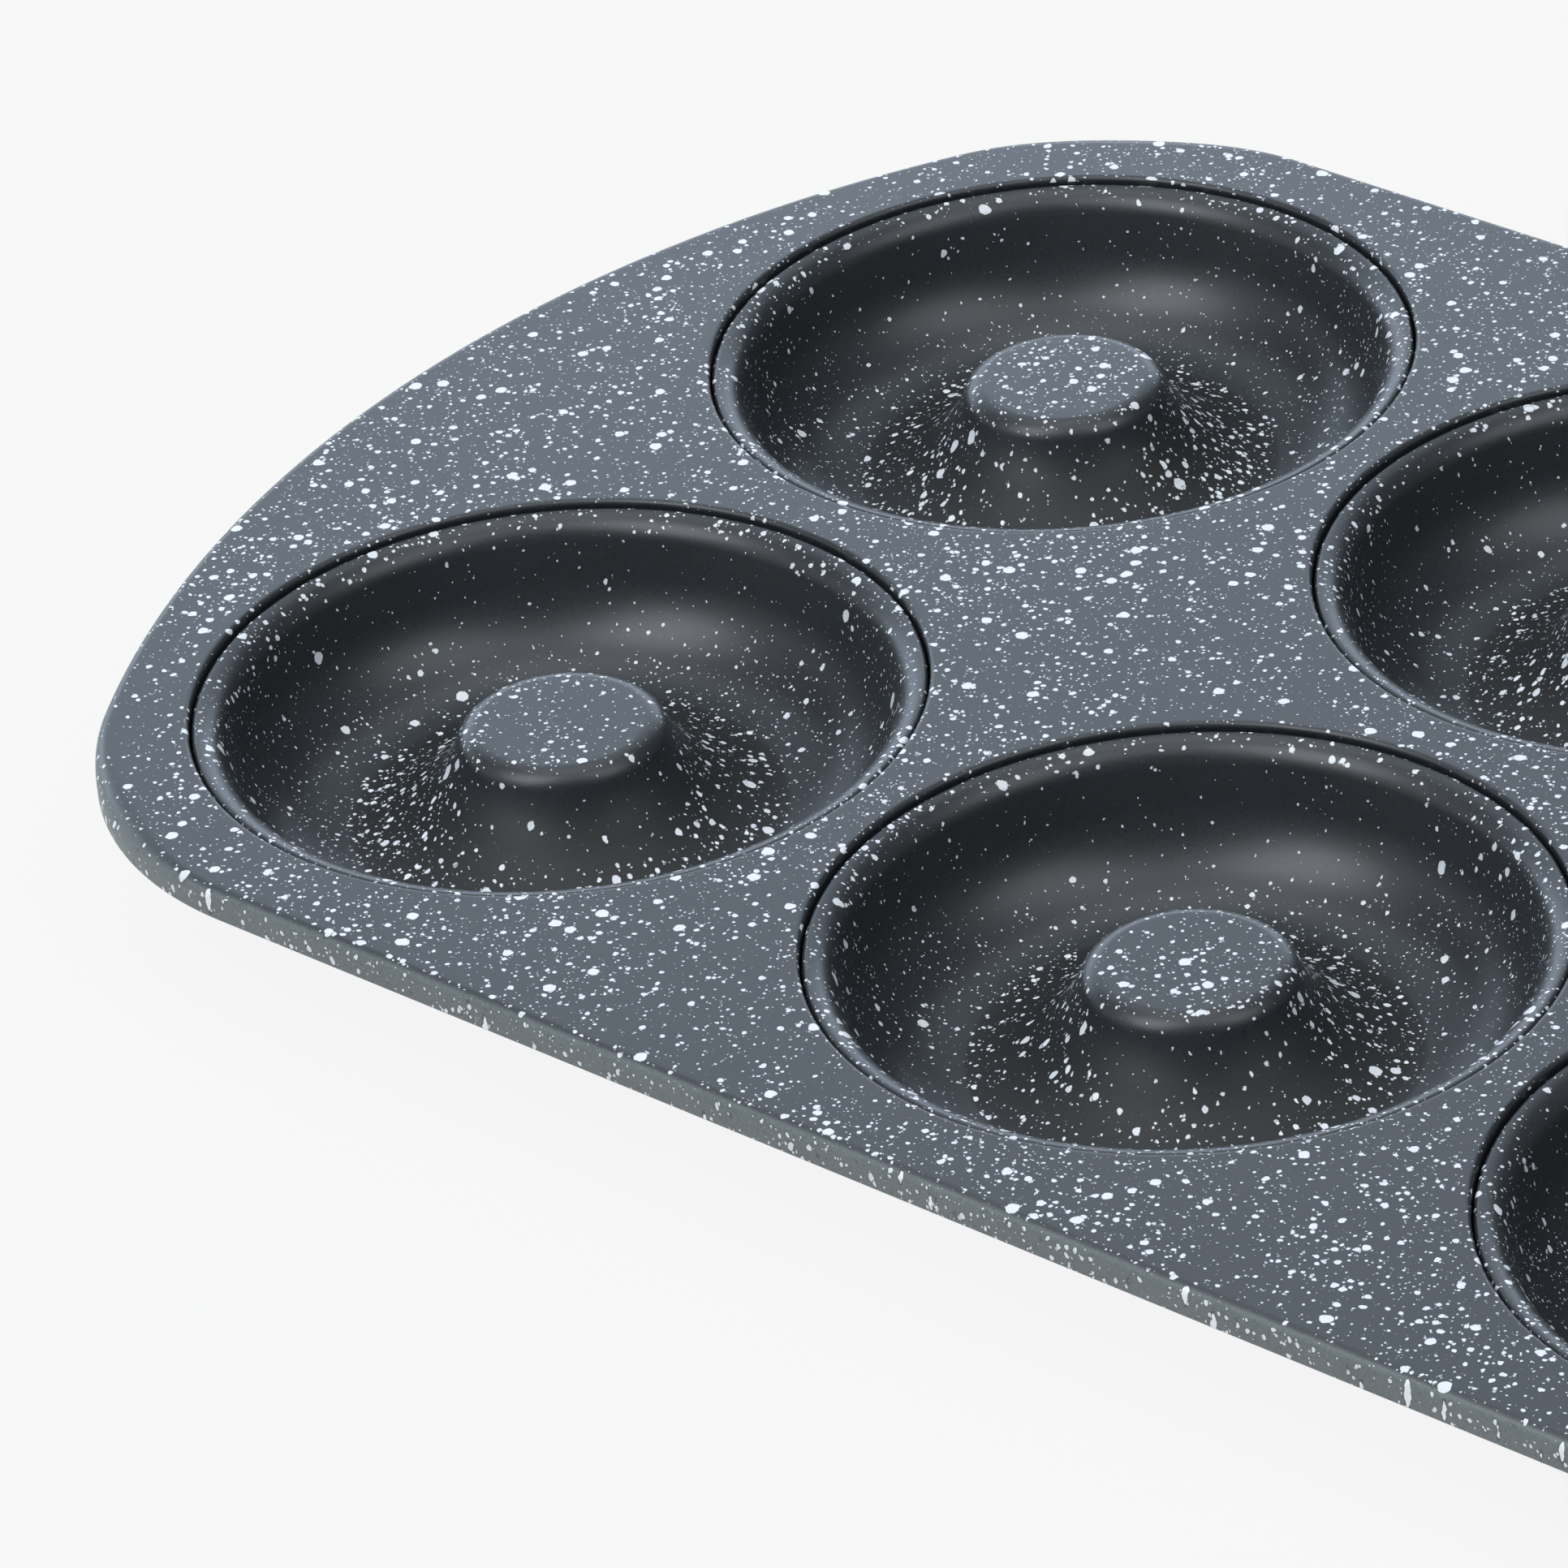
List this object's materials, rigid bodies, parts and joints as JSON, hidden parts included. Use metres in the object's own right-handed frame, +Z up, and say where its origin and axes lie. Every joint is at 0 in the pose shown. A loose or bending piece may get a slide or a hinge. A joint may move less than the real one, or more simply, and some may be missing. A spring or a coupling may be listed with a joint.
{
  "type": "donut baking pan",
  "caption": "Speckled non-stick steel baking pan: flat frame plate with rounded ends and seamed-in ring cups with centre posts, for baking ring donuts.",
  "frame": {"origin": "middle of the pan on the surface it rests on, under the centre of the plate", "axes": "+X along the pan's long side, +Y across it, +Z up out of the cups"},
  "size_m": [0.327, 0.2114, 0.0178],
  "materials": {
    "plate_coating": "satin charcoal stone-look non-stick coating with pale blue-grey speckles",
    "cup_coating": "satin charcoal stone-look non-stick coating with pale blue-grey speckles"
  },
  "bodies": {
    "root": {"frame_plate": "plate_coating", "cup_front_left": "cup_coating", "cup_front_middle": "cup_coating", "cup_front_right": "cup_coating", "cup_rear_left": "cup_coating", "cup_rear_middle": "cup_coating", "cup_rear_right": "cup_coating"}
  },
  "joints": []
}
